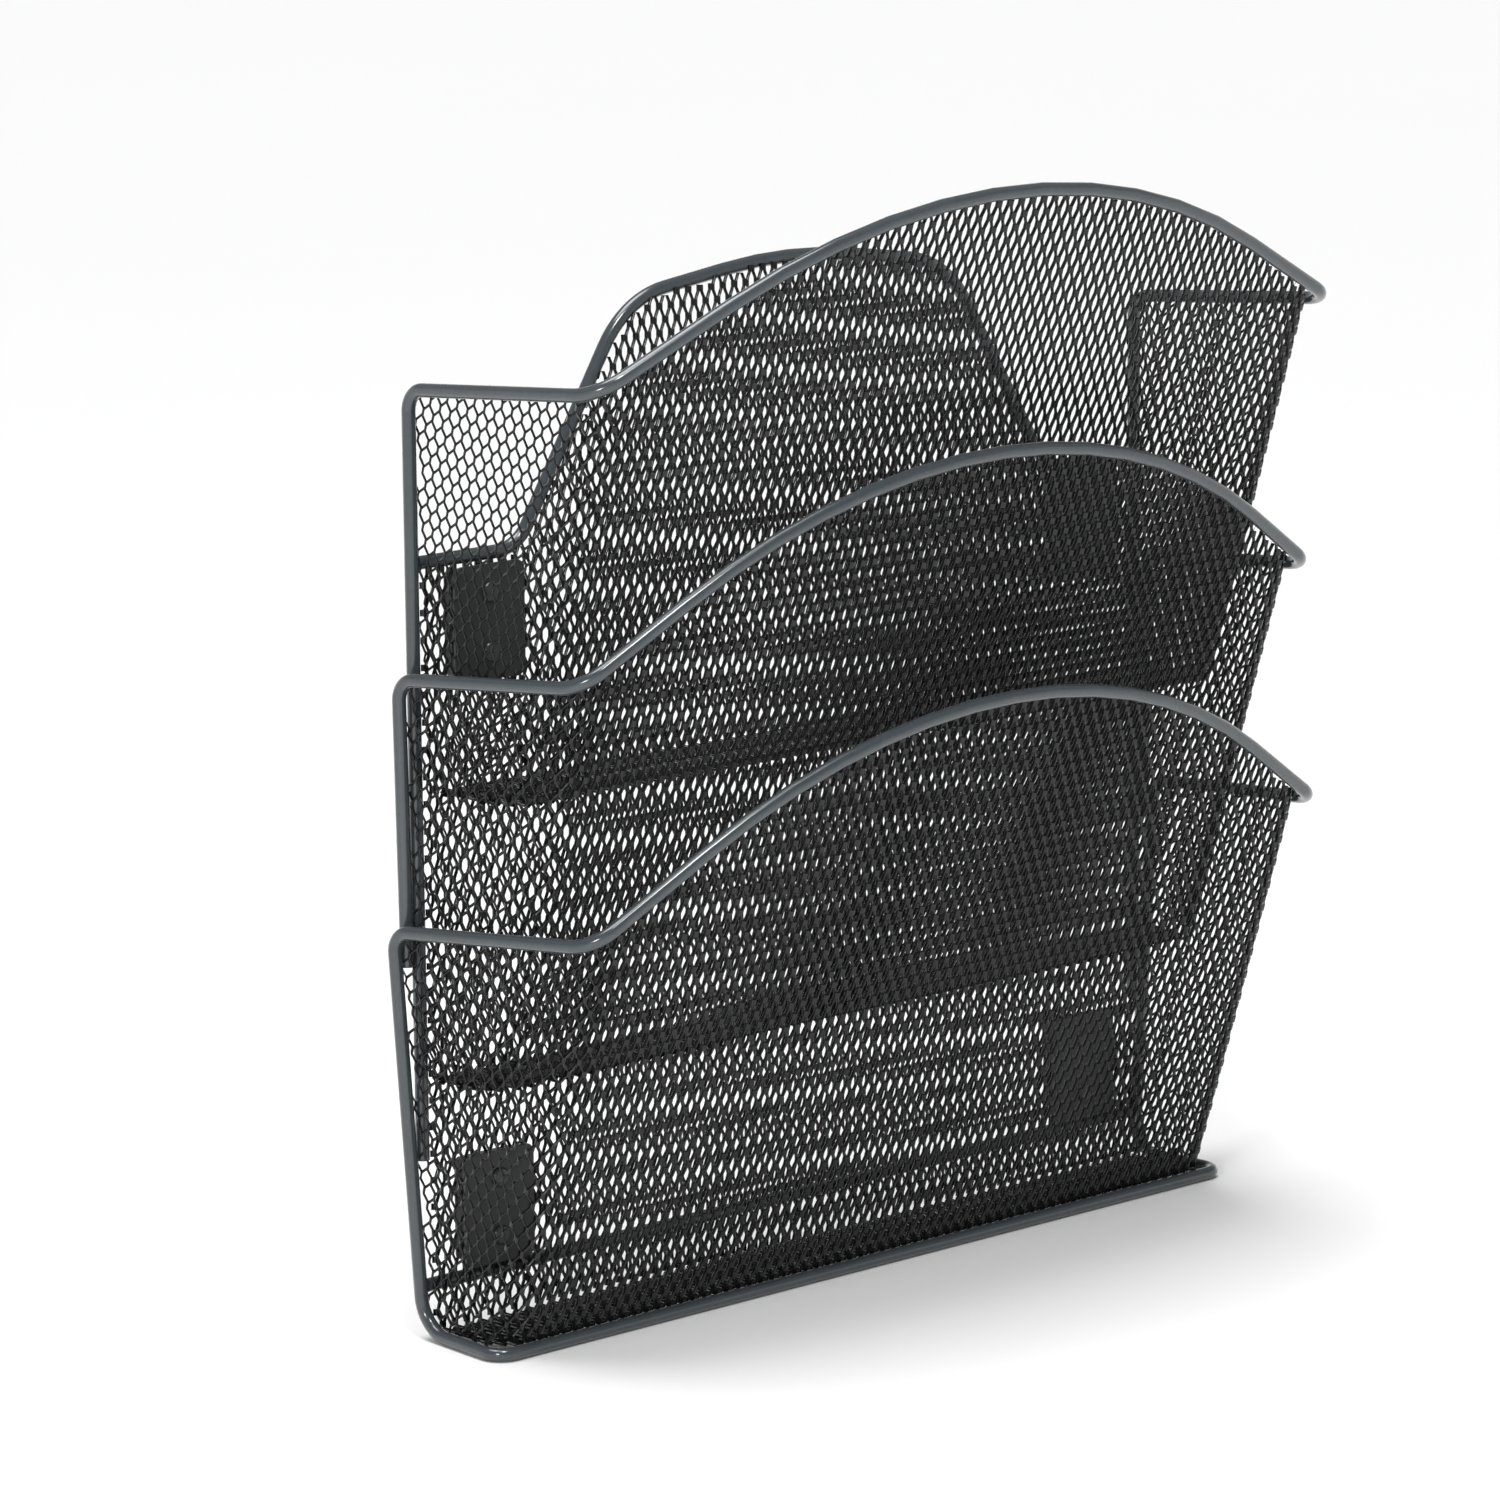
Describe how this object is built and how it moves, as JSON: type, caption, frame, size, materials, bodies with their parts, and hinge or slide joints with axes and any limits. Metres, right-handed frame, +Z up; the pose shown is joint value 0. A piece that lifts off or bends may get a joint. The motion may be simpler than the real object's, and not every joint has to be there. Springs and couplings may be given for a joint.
{
  "type": "hanging file rack",
  "caption": "Wall-hung black mesh file rack with stacked, forward-leaning pockets, arched wire rims and magnets on its back.",
  "frame": {"origin": "on the wall plane, at the rack's lowest point and half way across it", "axes": "+Z up the wall, +Y into the wall, so the pockets stand out towards -Y, and +X to the right as the user faces the rack"},
  "size_m": [0.3258, 0.1053, 0.3426],
  "materials": {
    "rod": "satin charcoal powder coat",
    "mesh": "semi-gloss black coat on expanded metal",
    "magnet": "matt black rubber skin",
    "plate": "semi-gloss black coat",
    "rivet": "semi-gloss black coat"
  },
  "bodies": {
    "root": {"top_pocket_rim_rod": "rod", "middle_pocket_rim_rod": "rod", "bottom_pocket_rim_and_base_rod": "rod", "back_top_rod": "rod", "back_lower_rod": "rod", "back_mesh_panel": "mesh", "top_pocket_wrap_mesh": "mesh", "top_pocket_floor_mesh": "mesh", "middle_pocket_wrap_mesh": "mesh", "middle_pocket_floor_mesh": "mesh", "bottom_pocket_wrap_mesh": "mesh", "bottom_pocket_floor_mesh": "mesh", "upper_left_magnet": "magnet", "upper_right_magnet": "magnet", "lower_left_magnet": "magnet", "lower_right_magnet": "magnet", "upper_left_magnet_plate": "plate", "upper_right_magnet_plate": "plate", "lower_left_magnet_plate": "plate", "lower_right_magnet_plate": "plate", "magnet_rivets": "rivet"}
  },
  "joints": []
}
